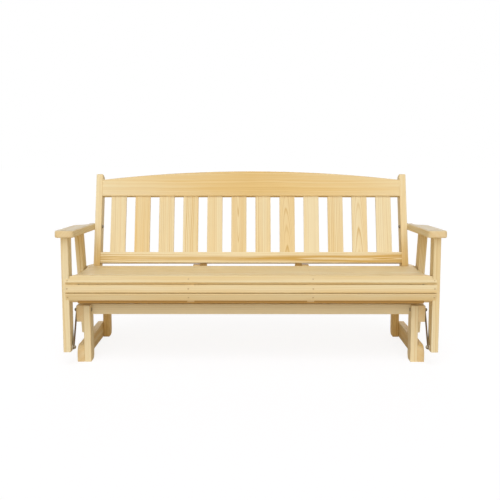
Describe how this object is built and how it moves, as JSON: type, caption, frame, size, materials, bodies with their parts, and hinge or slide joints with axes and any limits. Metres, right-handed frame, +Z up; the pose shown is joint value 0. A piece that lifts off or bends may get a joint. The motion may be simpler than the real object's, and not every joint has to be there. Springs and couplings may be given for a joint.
{
  "type": "glider bench",
  "caption": "Slatted timber garden glider with a reclined back, armrests and a rolled seat front, swinging on four steel links inside a low timber base.",
  "frame": {"origin": "centre of the bounding box, at floor level", "axes": "+Z up, the sitter looks along -Y, +X runs along the seat to the right when seen from the front"},
  "size_m": [2.032, 0.8467, 1.0119],
  "materials": {
    "pine": "bare planed softwood, pale yellow with darker grain",
    "link_steel": "dark painted flat steel strap",
    "plated_steel": "zinc-plated, satin",
    "bushing_nylon": "off-white nylon"
  },
  "bodies": {
    "base": {"base_bolts": "plated_steel", "base_bushings": "bushing_nylon", "base_leg_front_left": "pine", "base_leg_front_right": "pine", "base_leg_rear_left": "pine", "base_leg_rear_right": "pine", "base_nuts": "plated_steel", "base_runner_left": "pine", "base_runner_right": "pine", "base_screws": "plated_steel", "base_stretcher_front": "pine", "base_stretcher_rear": "pine", "base_top_rail_left": "pine", "base_top_rail_right": "pine"},
    "swing_link_front_left": {"swing_link_front_left": "link_steel"},
    "swing_link_front_right": {"swing_link_front_right": "link_steel"},
    "swing_link_rear_left": {"swing_link_rear_left": "link_steel"},
    "swing_link_rear_right": {"swing_link_rear_right": "link_steel"},
    "seat": {"arm_left": "pine", "arm_right": "pine", "back_brace_left": "pine", "back_brace_right": "pine", "back_post_left": "pine", "back_post_right": "pine", "back_rail_crest": "pine", "back_rail_lower": "pine", "back_slat_01": "pine", "back_slat_02": "pine", "back_slat_03": "pine", "back_slat_04": "pine", "back_slat_05": "pine", "back_slat_06": "pine", "back_slat_07": "pine", "back_slat_08": "pine", "back_slat_09": "pine", "back_slat_10": "pine", "back_slat_11": "pine", "back_slat_12": "pine", "centre_support_left": "pine", "centre_support_right": "pine", "front_post_left": "pine", "front_post_right": "pine", "rear_leg_left": "pine", "rear_leg_right": "pine", "seat_board_1": "pine", "seat_board_2": "pine", "seat_board_3": "pine", "seat_board_4": "pine", "seat_board_5": "pine", "seat_board_front": "pine", "seat_board_nose": "pine", "seat_board_under": "pine", "seat_bolts": "plated_steel", "seat_bushings": "bushing_nylon", "seat_nuts": "plated_steel", "seat_rail_front": "pine", "seat_rail_rear": "pine", "seat_screws": "plated_steel", "side_support_left": "pine", "side_support_right": "pine"}
  },
  "joints": [
    {"name": "front_left_swing", "type": "hinge", "parent": "base", "child": "swing_link_front_left", "pos_m": [-0.947, -0.2325, 0.283], "axis": [1, 0, 0], "range_deg": [-11, 11]},
    {"name": "front_right_swing", "type": "hinge", "parent": "base", "child": "swing_link_front_right", "pos_m": [0.947, -0.2325, 0.283], "axis": [1, 0, 0], "range_deg": [-11, 11]},
    {"name": "rear_left_swing", "type": "hinge", "parent": "base", "child": "swing_link_rear_left", "pos_m": [-0.947, 0.1038, 0.283], "axis": [1, 0, 0], "range_deg": [-12.2, 12.2]},
    {"name": "rear_right_swing", "type": "hinge", "parent": "base", "child": "swing_link_rear_right", "pos_m": [0.947, 0.1038, 0.283], "axis": [1, 0, 0], "range_deg": [-12.2, 12.2]},
    {"name": "seat_rock", "type": "hinge", "parent": "swing_link_front_left", "child": "seat", "pos_m": [-0.947, -0.336, 0.099], "axis": [1, 0, 0], "range_deg": [-7.4, 7.4]}
  ],
  "couplings": [
    {"joint": "front_right_swing", "follows": "front_left_swing", "ratio": 1},
    {"joint": "rear_left_swing", "follows": "front_left_swing", "ratio": 1.108},
    {"joint": "rear_right_swing", "follows": "front_left_swing", "ratio": 1.108},
    {"joint": "seat_rock", "follows": "front_left_swing", "ratio": -0.6715}
  ]
}
